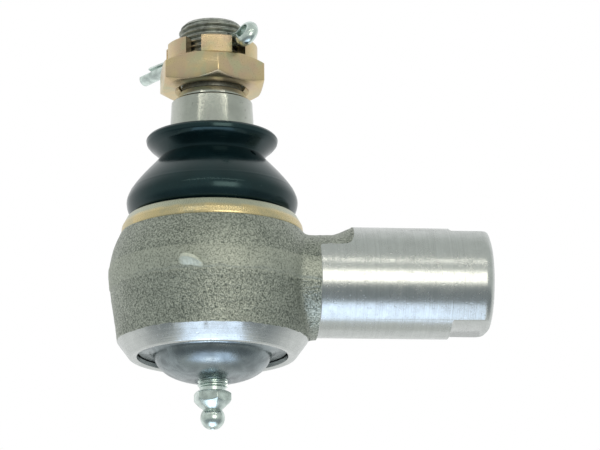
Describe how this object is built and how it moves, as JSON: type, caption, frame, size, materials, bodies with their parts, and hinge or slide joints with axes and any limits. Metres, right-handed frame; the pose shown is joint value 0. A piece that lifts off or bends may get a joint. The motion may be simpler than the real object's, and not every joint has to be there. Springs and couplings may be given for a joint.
{
  "type": "tie rod end",
  "caption": "Steering ball joint: forged housing with a threaded shank, tapered stud with castle nut and cotter pin, rubber boot and grease nipple.",
  "frame": {"origin": "centre of the ball, where the stud's axis crosses the shank's axis", "axes": "+Z along the stud towards its thread, +X along the shank towards its open end"},
  "size_m": [0.1022, 0.0556, 0.1122],
  "materials": {
    "forged_steel": "shot-blasted forging, turned shank and end faces",
    "ground_steel": "hardened, ground cone and polished ball",
    "yellow_zinc_steel": "yellow chromated zinc plate",
    "clear_zinc_steel": "clear chromated zinc plate",
    "pressed_steel": "deep-drawn sheet, oiled",
    "spring_steel": "drawn wire, oil tempered",
    "seat_acetal": "injection-moulded acetal",
    "boot_rubber": "glossy moulded chloroprene",
    "seal_rubber": "nitrile ring"
  },
  "bodies": {
    "housing": {"housing": "forged_steel", "upper_ball_seat": "seat_acetal", "preload_spring": "spring_steel", "closure_cap": "pressed_steel", "cap_seal": "seal_rubber", "grease_nipple": "clear_zinc_steel", "nipple_valve_spring": "spring_steel", "nipple_spring_keeper": "clear_zinc_steel", "boot_retaining_ring": "yellow_zinc_steel"},
    "pressure_cup": {"pressure_cup": "seat_acetal"},
    "check_ball": {"nipple_check_ball": "ground_steel"},
    "boot": {"dust_boot": "boot_rubber", "boot_foot_wire": "spring_steel"},
    "boot_lip": {"boot_lip_band": "spring_steel"},
    "stud": {"ball_stud": "ground_steel", "castle_nut": "yellow_zinc_steel", "cotter_pin": "clear_zinc_steel"}
  },
  "joints": [
    {"name": "swing_direction", "type": "hinge", "parent": "housing", "child": "boot", "pos_m": [0, 0, 0], "axis": [0, 0, 1], "continuous": true},
    {"name": "stud_swing", "type": "hinge", "parent": "boot", "child": "boot_lip", "pos_m": [0, 0, 0], "axis": [0, 1, 0], "range_deg": [-18, 18], "deforming": ["dust_boot"]},
    {"name": "stud_spin", "type": "hinge", "parent": "boot_lip", "child": "stud", "pos_m": [0, 0, 0], "axis": [0, 0, 1], "continuous": true},
    {"name": "cup_take_up", "type": "slide", "parent": "housing", "child": "pressure_cup", "axis": [0, 0, -1], "range_m": [0, 0.0005], "stiffness_N_per_m": 20000, "springref_m": -0.002, "deforming": ["preload_spring"]},
    {"name": "check_ball_travel", "type": "slide", "parent": "housing", "child": "check_ball", "axis": [0, 0, 1], "range_m": [0, 0.0008], "stiffness_N_per_m": 400, "springref_m": -0.001, "deforming": ["nipple_valve_spring"]}
  ]
}
